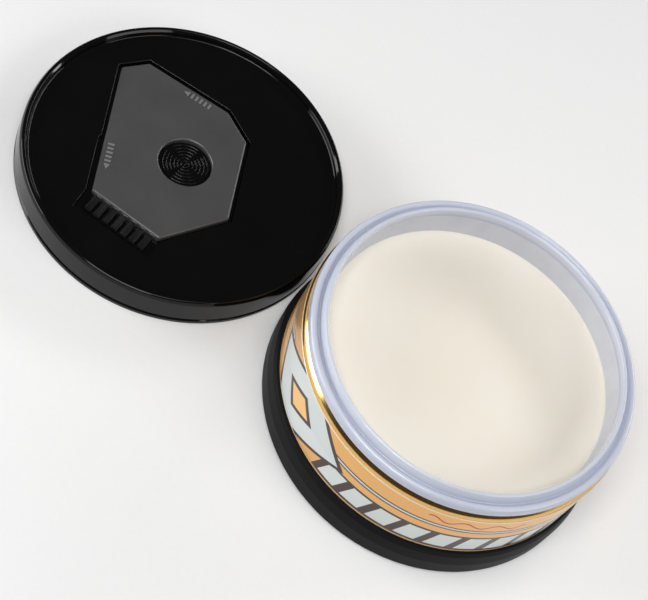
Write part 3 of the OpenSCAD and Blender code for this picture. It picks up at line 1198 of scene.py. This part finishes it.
def recalculated(thing: bpy.types.Object) -> bpy.types.Object:
    """Merge a piece's doubles and turn its faces outwards."""
    work = bmesh.new()
    work.from_mesh(thing.data)
    bmesh.ops.remove_doubles(work, verts=work.verts, dist=1e-7)
    bmesh.ops.recalc_face_normals(work, faces=work.faces)
    work.to_mesh(thing.data)
    work.free()
    return thing


def dress_node(node: str, finish: bpy.types.Material) -> None:
    """Give a CAD node that stays in view its finish."""
    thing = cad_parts[node]
    thing.data.materials.clear()
    thing.data.materials.append(finish)


@dataclass
class Stowage:
    """Plan of the tool and its pocket, about the lid's axis, before they are turned."""

    turn: float = 45.0
    land: float = 9.4 * MM
    gap: float = 1.2 * MM
    step_share: float = 0.6
    step_w: float = 0.8 * MM
    tuft_l: float = 7.5 * MM
    tufts: int = 7
    shape: tuple[Point, ...] = (
        (-0.26, 0.94), (-0.49, 0.87), (-0.75, -0.35), (-0.24, -0.73),
        (0.33, -0.49), (0.52, 0.26), (0.38, 0.54),
    )
    centre: Point = field(init=False)
    reach: float = field(init=False)

    def __post_init__(self) -> None:
        """Read the lid's place and size."""
        low, high = span("lid_shell")
        self.centre = ((low.x + high.x) / 2, 0.0)
        self.reach = (high.x - low.x) / 2 - 4.3 * MM - self.land

    def tool(self) -> list[Point]:
        """Return the tool's corners."""
        return [(x * self.reach, y * self.reach) for x, y in self.shape]

    def brush(self) -> tuple[Vector, Vector, Vector, float]:
        """Return the brush edge's start, its direction, the way its tufts point, and its length."""
        corners = self.tool()
        a, b = Vector(corners[2]), Vector(corners[3])
        along = (b - a).normalized()
        return a, along, Vector((along.y, -along.x)), (b - a).length

    def pocket(self) -> list[Point]:
        """Return the pocket's corners: round the tool and its brush, with a finger step."""
        corners = self.tool()
        heel, a, b = Vector(corners[1]), Vector(corners[2]), Vector(corners[3])
        side = (a - heel).normalized()
        out = Vector((side.y, -side.x))
        brush_out = self.brush()[2]
        at = heel + self.step_share * (a - heel)
        plan = [corners[0], corners[1], at, at + self.step_w * out, a + self.step_w * out,
                a + self.tuft_l * brush_out, b + self.tuft_l * brush_out, b, *corners[4:]]
        return [tuple(p) for p in grown([tuple(p) for p in plan], self.gap)]

    def placed(self, corners: Sequence[Point], radius: float) -> Outline:
        """Return an outline turned and moved to where the lid lies."""
        return Outline(tuple(corners), radius).moved(self.turn, self.centre)


@dataclass
class Lid:
    """The lid: glossy shell with its pocket and ridged boss, and the foam liner."""

    stowage: Stowage
    wall: float = 1.6 * MM
    deck: float = 1.2 * MM
    dish: float = 2.3 * MM
    drop: float = 2.1 * MM
    boss_r: float = 8.9 * MM
    boss_h: float = 1.1 * MM
    ridge_pitch: float = 1.3 * MM
    ridge_h: float = 0.3 * MM

    def shell(self, gloss: bpy.types.Material) -> bpy.types.Object:
        """Build the shell as one closed surface, from the boss out over the bead and back under."""
        low, high = span("lid_shell")
        centre, r, h = self.stowage.centre, (high.x - low.x) / 2, high.z
        inner, dish_z = r - self.wall, h - self.dish
        deck_z, floor_z = dish_z - self.deck, dish_z - self.drop
        crest, flat = r - 1.6 * MM, r - 4.3 * MM
        skirt = rounded([
            (flat, dish_z), (flat + 1.0 * MM, dish_z + 0.05 * MM, 0.8 * MM),
            (crest - 1.25 * MM, h - 0.7 * MM, 0.5 * MM),
            (crest - 0.5 * MM, h, 0.5 * MM), (crest + 0.5 * MM, h, 0.7 * MM),
            (r - 0.45 * MM, h - 1.3 * MM, 1.2 * MM),
            (r - 0.1 * MM, 2.7 * MM, 0.3 * MM), (r - 0.5 * MM, 2.3 * MM, 0.15 * MM),
            (r - 0.5 * MM, 1.8 * MM, 0.15 * MM),
            (r, 1.4 * MM, 0.2 * MM), (r, 0.0, 0.3 * MM), (inner + 0.5 * MM, 0.0, 0.15 * MM),
            (inner + 0.5 * MM, 1.0 * MM, 0.2 * MM), (inner, 1.5 * MM, 0.2 * MM), (inner, deck_z, 0.3 * MM),
            (inner - 3 * MM, deck_z),
        ], 6)
        skin = Skin()
        first, last = skin.lathe(centre, skirt, 288)
        pocket = self.stowage.placed(self.stowage.pocket(), 0.36 * MM)
        soft = 0.28 * MM
        lip = [(soft * (1 - math.sin(a)), dish_z - soft * (1 - math.cos(a)))
               for a in (math.radians(90 * i / 5) for i in range(6))]
        root = [(-soft * (1 - math.cos(a)), floor_z + soft * (1 - math.sin(a)))
                for a in (math.radians(90 * i / 4) for i in range(5))]
        down = [skin.loop(pocket.loop(out, z)) for out, z in [*lip, *root]]
        skin.band(*down)
        skin.cap(first, down[0])
        boss = rounded([
            (self.boss_r + 0.3 * MM, floor_z), (self.boss_r, floor_z, 0.2 * MM),
            (self.boss_r, floor_z + self.boss_h, 0.3 * MM), (self.boss_r * 0.3, floor_z + self.boss_h),
        ], 5)
        base, top = skin.lathe(centre, boss[:-1] + [(0.5 * MM, floor_z + self.boss_h)], 96)
        skin.cap(down[-1], base)
        skin.pole(top, (*centre, floor_z + self.boss_h))
        tub = self.stowage.placed(grown(self.stowage.pocket(), 1.2 * MM), 0.6 * MM)
        under = floor_z - self.deck
        steps = [(0.0, deck_z), (0.0, under + 0.4 * MM), (-0.12 * MM, under + 0.12 * MM), (-0.4 * MM, under)]
        hang = [skin.loop(tub.loop(out, z)) for out, z in steps]
        skin.band(*hang)
        skin.cap(last, hang[0])
        skin.cap(hang[-1])
        return install(smooth(skin.make("lid_shell_skin")), Body.LID, "lid_shell", gloss)

    def ridges(self, gloss: bpy.types.Material) -> bpy.types.Object:
        """Grow the concentric grip ridges on the boss with geometry nodes."""
        low, high = span("lid_shell")
        top = high.z - self.dish - self.drop + self.boss_h
        growth = Growth("boss_ridges", {
            "Ridges": ("NodeSocketInt", int((self.boss_r - 0.5 * MM) / self.ridge_pitch)),
            "Pitch": ("NodeSocketFloat", self.ridge_pitch),
            "Ridge Height": ("NodeSocketFloat", self.ridge_h),
        })
        given = growth.given.outputs
        line = growth.node("GeometryNodeMeshLine", sockets={
            "Count": given["Ridges"], "Offset": (0.0, 0.0, 0.0),
        })
        number = growth.node("GeometryNodeInputIndex").outputs[0]
        radius = growth.maths("MULTIPLY", growth.maths("ADD", number, 1.0), given["Pitch"])
        circle = growth.node("GeometryNodeCurvePrimitiveCircle", sockets={"Resolution": 176, "Radius": 1.0})
        spread = growth.node("ShaderNodeCombineXYZ", sockets={0: radius, 1: radius, 2: 1.0})
        rings = growth.node("GeometryNodeInstanceOnPoints", sockets={
            "Points": line.outputs[0], "Instance": circle.outputs[0], "Scale": spread.outputs[0],
        })
        real = growth.node("GeometryNodeRealizeInstances", sockets={"Geometry": rings.outputs[0]})
        section = growth.node("GeometryNodeCurvePrimitiveCircle", sockets={
            "Resolution": 12, "Radius": given["Ridge Height"],
        })
        swept = growth.node("GeometryNodeCurveToMesh", sockets={
            "Curve": real.outputs[0], "Profile Curve": section.outputs[0],
        })
        piece = growth.run("boss_ridges", swept.outputs[0], gloss)
        dot = Skin()
        for reach, z in [(0.55 * MM, 0.0), (0.5 * MM, 0.18 * MM), (0.3 * MM, 0.27 * MM)]:
            dot.circle((0, 0), reach, z, 24)
        dot.band(list(range(24)), list(range(24, 48)), list(range(48, 72)))
        dot.pole(list(range(48, 72)), (0, 0, 0.3 * MM))
        dot.pole(list(range(24)), (0, 0, 0))
        nub = dot.make("boss_nub")
        joined = join(piece, nub)
        joined.data.transform(Matrix.Translation((*self.stowage.centre, top)))
        return install(smooth(recalculated(joined)), Body.LID, None, gloss)

    def liner(self) -> bpy.types.Object:
        """Build the foam sealing ring."""
        low, high = span("lid_liner")
        centre = self.stowage.centre
        outer = high.x - centre[0]
        inner = outer - self._liner_width()
        t = 0.25 * MM
        outline = rounded([(inner, low.z, t), (outer, low.z, t), (outer, high.z), (inner, high.z)], 4)
        skin = turned("lid_liner_skin", outline, centre)
        return install(skin, Body.LID, "lid_liner", Foam().make())

    def _liner_width(self) -> float:
        """Return the width of the foam ring, which ends just outside the pocket."""
        low, high = span("lid_liner")
        centre = self.stowage.centre
        outer = high.x - centre[0]
        edge = max(math.hypot(*p) for p in grown(self.stowage.pocket(), 1.2 * MM))
        return outer - edge - 0.4 * MM


def join(first: bpy.types.Object, second: bpy.types.Object) -> bpy.types.Object:
    """Join the second piece's mesh into the first."""
    work = bmesh.new()
    work.from_mesh(first.data)
    work.from_mesh(second.data)
    work.to_mesh(first.data)
    work.free()
    bpy.data.objects.remove(second)
    return first


@dataclass
class Tool:
    """The stowed tool: plate with opener tip, hole and marks, and its brush."""

    stowage: Stowage
    hole_r: float = 9.25 * MM
    lip: float = 0.75 * MM
    edge: float = 0.85 * MM
    tuft_w: float = 2.2 * MM
    tuft_t: float = 1.4 * MM
    root: float = 1.2 * MM
    mark_h: float = 0.15 * MM

    def plate(self) -> bpy.types.Object:
        """Build the plate with rounded edges, a rolled hole and raised marks."""
        low, high = span("tool_plate")
        z0, z1 = low.z, high.z - self.mark_h
        plan = self.stowage.placed(self.stowage.tool(), 0.9 * MM)
        centre = self.stowage.centre
        e, foot = self.edge, 0.2 * MM
        turns = [math.radians(90 * i / 6) for i in range(7)]
        side = [(-foot * (1 - math.sin(a)), z0 + foot * (1 - math.cos(a))) for a in turns]
        side += [(-e * (1 - math.cos(a)), z1 - e * (1 - math.sin(a))) for a in turns]
        skin = Skin()
        loops = [skin.loop(plan.loop(out, z)) for out, z in side]
        skin.band(*loops)
        bore = [(self.hole_r + self.lip * (1 - math.sin(a)), z1 - self.lip * (1 - math.cos(a))) for a in turns]
        bore += [(self.hole_r + foot * (1 - math.cos(a)), z0 + foot * (1 - math.sin(a))) for a in turns]
        top, bottom = skin.lathe(centre, bore, 96)
        skin.cap(loops[-1], top)
        skin.cap(loops[0], bottom)
        corners = self.stowage.tool()
        self._marks(skin, corners[-1], corners[0], 0.52, z1)
        self._marks(skin, corners[1], corners[2], 0.82, z1)
        self._collars(skin, z0, z1)
        plate = smooth(skin.make("tool_plate_skin"))
        return install(plate, Body.TOOL, "tool_plate", ToolPlastic(z1).make())

    def _raised(self, skin: Skin, corners: Sequence[Point], z: float, h: float, radius: float) -> None:
        """Add a low raised shape with soft edges, sunk a little into the face under it."""
        plan = self.stowage.placed(corners, radius)
        soft = 0.4 * h
        steps = [(0.0, z - 0.1 * MM), (0.0, z + h - soft), (-0.3 * soft, z + h - 0.3 * soft), (-soft, z + h)]
        loops = [skin.loop(plan.loop(out, level)) for out, level in steps]
        skin.band(*loops)
        skin.cap(loops[-1])
        skin.cap(loops[0])

    def _marks(self, skin: Skin, start: Point, end: Point, share: float, z: float) -> None:
        """Add an arrow and a row of short bars inside an edge of the plate."""
        inset, arrow, gap, bars = 2.6 * MM, 2.2 * MM, 1.7 * MM, 5
        p, q = Vector(start), Vector(end)
        way = (q - p).normalized()
        inward = Vector((-way.y, way.x))
        at = p + share * (q - p) + inset * inward

        def spot(x: float, y: float) -> Point:
            """Return a place along and across the row of marks."""
            return tuple(at + x * way + y * inward)

        half = arrow / 2
        self._raised(skin, [spot(0, 0), spot(-arrow, half), spot(-arrow, -half)], z, self.mark_h, 0.08 * MM)
        for i in range(1, bars + 1):
            x = -arrow - i * gap
            shape = [spot(x, -half), spot(x + gap / 2, -half), spot(x + gap / 2, half), spot(x, half)]
            self._raised(skin, shape, z, self.mark_h, 0.08 * MM)

    def tuft_places(self) -> list[Vector]:
        """Return the middle of each tuft on the brush edge, about the lid's axis."""
        a, along, _, length = self.stowage.brush()
        pitch = length / (self.stowage.tufts + 0.6)
        return [a + (0.8 + i) * pitch * along for i in range(self.stowage.tufts)]

    def _collars(self, skin: Skin, z0: float, z1: float) -> None:
        """Add the small moulded collar at the root of each tuft."""
        _, along, out, _ = self.stowage.brush()
        wide, deep = self.tuft_w / 2 + 0.15 * MM, 0.55 * MM
        for at in self.tuft_places():
            shape = [at - wide * along - 0.6 * MM * out, at - wide * along + deep * out,
                     at + wide * along + deep * out, at + wide * along - 0.6 * MM * out]
            shape = [tuple(p) for p in shape]
            self._raised(skin, shape, z0 + 0.15 * MM, z1 - z0 - 0.35 * MM, 0.12 * MM)

    def brush(self) -> bpy.types.Object:
        """Grow the bristles with geometry nodes: a grid of strands at each tuft, slightly splayed."""
        low, high = span("brush_tufts")
        strand = 0.11 * MM
        length = self.stowage.tuft_l - 0.6 * MM + self.root
        places = self.tuft_places()
        pitch = (places[1] - places[0]).length
        growth = Growth("bristles", {
            "Tufts": ("NodeSocketInt", len(places)),
            "Tuft Pitch": ("NodeSocketVector", (pitch, 0.0, 0.0)),
            "Tuft Width": ("NodeSocketFloat", self.tuft_w - 2.6 * strand),
            "Tuft Thickness": ("NodeSocketFloat", self.tuft_t - 2.6 * strand),
            "Strand Radius": ("NodeSocketFloat", strand),
            "Strand Length": ("NodeSocketFloat", length * 0.985),
            "Seed": ("NodeSocketInt", 11),
        })
        given = growth.given.outputs
        line = growth.node("GeometryNodeMeshLine", sockets={
            "Count": given["Tufts"], "Offset": given["Tuft Pitch"],
        })
        grid = growth.node("GeometryNodeMeshGrid", sockets={
            "Size X": given["Tuft Width"], "Size Y": given["Tuft Thickness"],
            "Vertices X": 9, "Vertices Y": 6,
        })
        spots = growth.node("GeometryNodeInstanceOnPoints", sockets={
            "Points": line.outputs[0], "Instance": grid.outputs[0],
        })
        real = growth.node("GeometryNodeRealizeInstances", sockets={"Geometry": spots.outputs[0]})
        rod = growth.node("GeometryNodeMeshCylinder", sockets={
            "Vertices": 7, "Side Segments": 2,
            "Radius": given["Strand Radius"], "Depth": given["Strand Length"],
        })
        half = growth.maths("MULTIPLY", given["Strand Length"], 0.5)
        lift = growth.node("ShaderNodeCombineXYZ", sockets={0: 0.0, 1: 0.0, 2: half})
        stand = growth.node("GeometryNodeTransform", sockets={
            "Geometry": rod.outputs[0], "Translation": lift.outputs[0],
        })
        splay = growth.node("FunctionNodeRandomValue", {"data_type": "FLOAT_VECTOR"}, {
            0: (-0.012, -0.016, -3.0), 1: (0.012, 0.016, 3.0), "Seed": given["Seed"],
        })
        trim = growth.node("FunctionNodeRandomValue", {"data_type": "FLOAT_VECTOR"}, {
            0: (0.92, 0.92, 0.965), 1: (1.0, 1.0, 1.0), "Seed": given["Seed"],
        })
        strands = growth.node("GeometryNodeInstanceOnPoints", sockets={
            "Points": real.outputs[0], "Instance": stand.outputs[0],
            "Rotation": splay.outputs[0], "Scale": trim.outputs[0],
        })
        nylon = Nylon().make()
        piece = growth.run("brush_bristles", strands.outputs[0], nylon)
        _, along, out, _ = self.stowage.brush()
        start = places[0] - self.root * out
        local = Matrix((
            (along.x, 0.0, out.x, start.x), (along.y, 0.0, out.y, start.y),
            (0.0, 1.0, 0.0, (low.z + high.z) / 2), (0.0, 0.0, 0.0, 1.0),
        ))
        turn = Matrix.Rotation(math.radians(self.stowage.turn), 4, "Z")
        piece.data.transform(Matrix.Translation((*self.stowage.centre, 0.0)) @ turn @ local)
        return install(smooth(recalculated(piece)), Body.TOOL, "brush_tufts", nylon)


# ---------------------------------------------------------------- studio


@dataclass
class Studio:
    """Floor, soft lights and the rolled camera."""

    facing: float = -87.0
    elevation: float = 53.7
    roll: float = 40.3
    distance: float = 0.50
    lens: float = 88.9
    watched: tuple[float, float, float] = (0.0, 0.0, 0.043)
    slide: Point = (-0.0476, 0.0157)
    middle: tuple[float, float, float] = (-0.05, 0.0, 0.012)

    def axes(self) -> tuple[Vector, Vector, Vector]:
        """Return the level right, the level way ahead, and the way back to the camera."""
        a, e = math.radians(self.facing), math.radians(self.elevation)
        toward = Vector((math.cos(a), math.sin(a), 0.0))
        ahead = -toward
        right = Vector((ahead.y, -ahead.x, 0.0))
        back = toward * math.cos(e) + Vector((0, 0, 1)) * math.sin(e)
        return right, ahead, back

    def camera(self) -> None:
        """Place the camera over the tin's rim, then turn it so that the lid is in view too."""
        right, ahead, back = self.axes()
        rise = back.cross(right)
        r = math.radians(self.roll)
        side = math.cos(r) * right + math.sin(r) * rise
        up = -math.sin(r) * right + math.cos(r) * rise
        at = Vector(self.watched) + back * self.distance
        target = Vector(self.watched) + self.slide[0] * side + self.slide[1] * up
        back = (at - target).normalized()
        up = (up - up.dot(back) * back).normalized()
        side = up.cross(back)
        data = bpy.data.cameras.new("camera")
        data.lens, data.sensor_width = self.lens, 36.0
        data.clip_start, data.clip_end = 0.01, 20.0
        thing = bpy.data.objects.new("camera", data)
        bpy.context.scene.collection.objects.link(thing)
        thing.matrix_world = Matrix((
            (side.x, up.x, back.x, at.x), (side.y, up.y, back.y, at.y),
            (side.z, up.z, back.z, at.z), (0, 0, 0, 1),
        ))
        bpy.context.scene.camera = thing

    def lamp(self, name: str, azimuth: float, height: float, far: float, size: Point, power: float,
             tint: Colour = (1.0, 1.0, 1.0)) -> None:
        """Hang a soft light.

        Args:
            name: The light's name.
            azimuth: Its direction about the object, in degrees from the camera's side, to the right.
            height: Its height above the horizon, in degrees.
            far: Its distance in metres.
            size: Its width and height in metres.
            power: Its power in watts.
            tint: Its colour.
        """
        a, e = math.radians(self.facing + azimuth), math.radians(height)
        way = Vector((math.cos(a) * math.cos(e), math.sin(a) * math.cos(e), math.sin(e)))
        data = bpy.data.lights.new(name, "AREA")
        data.shape, data.size, data.size_y = "RECTANGLE", size[0], size[1]
        data.energy, data.color = power, tint
        thing = bpy.data.objects.new(name, data)
        bpy.context.scene.collection.objects.link(thing)
        thing.location = Vector(self.middle) + way * far
        thing.rotation_mode = "QUATERNION"
        thing.rotation_quaternion = way.to_track_quat("Z", "Y")

    def light(self) -> None:
        """Hang the lights and set the room's glow."""
        self.lamp("key", -64, 14, 0.9, (0.62, 0.38), 5.0)
        self.lamp("top", 5, 82, 0.9, (0.5, 0.42), 2.0)
        self.lamp("edge", 2, 60, 0.9, (0.42, 0.14), 3.4)
        self.lamp("fill", 85, 35, 1.2, (0.7, 0.5), 3.7)
        self.lamp("rear", 160, 22, 1.2, (1.1, 0.15), 6.0)
        world = bpy.data.worlds.new("room")
        world.use_nodes = True
        world.node_tree.nodes["Background"].inputs[0].default_value = (1.0, 1.0, 1.0, 1.0)
        world.node_tree.nodes["Background"].inputs[1].default_value = 0.06
        bpy.context.scene.world = world
        bpy.context.scene.view_settings.view_transform = "Standard"

    def floor(self) -> None:
        """Lay the pale floor."""
        reach, rim, steps = 3.0, 0.6, 64
        skin = Skin()
        edge = skin.circle((0, 0), reach, 0.0, steps)
        inner = skin.circle((0, 0), rim, 0.0, steps)
        skin.band(edge, inner)
        skin.cap(inner)
        thing = skin.make("floor")
        thing.data.materials.append(FloorPaper().make())
        thing.location.z = -0.02 * MM


def main() -> None:
    """Build every piece in order, then the studio."""
    logging.basicConfig(level=logging.INFO, format="%(message)s")
    studio = Studio()
    studio.camera()
    tin = Tin()
    tin.wall()
    tin.base()
    tin.compound()
    tin.foot()
    tin.cup()
    tin.rim()
    tin.wax()
    tin.label(studio.facing)
    stowage = Stowage()
    lid = Lid(stowage)
    gloss = GlossBlack().make()
    lid.shell(gloss)
    lid.ridges(gloss)
    lid.liner()
    tool = Tool(stowage)
    tool.plate()
    tool.brush()
    studio.floor()
    studio.light()


if __name__ == "__main__":
    main()
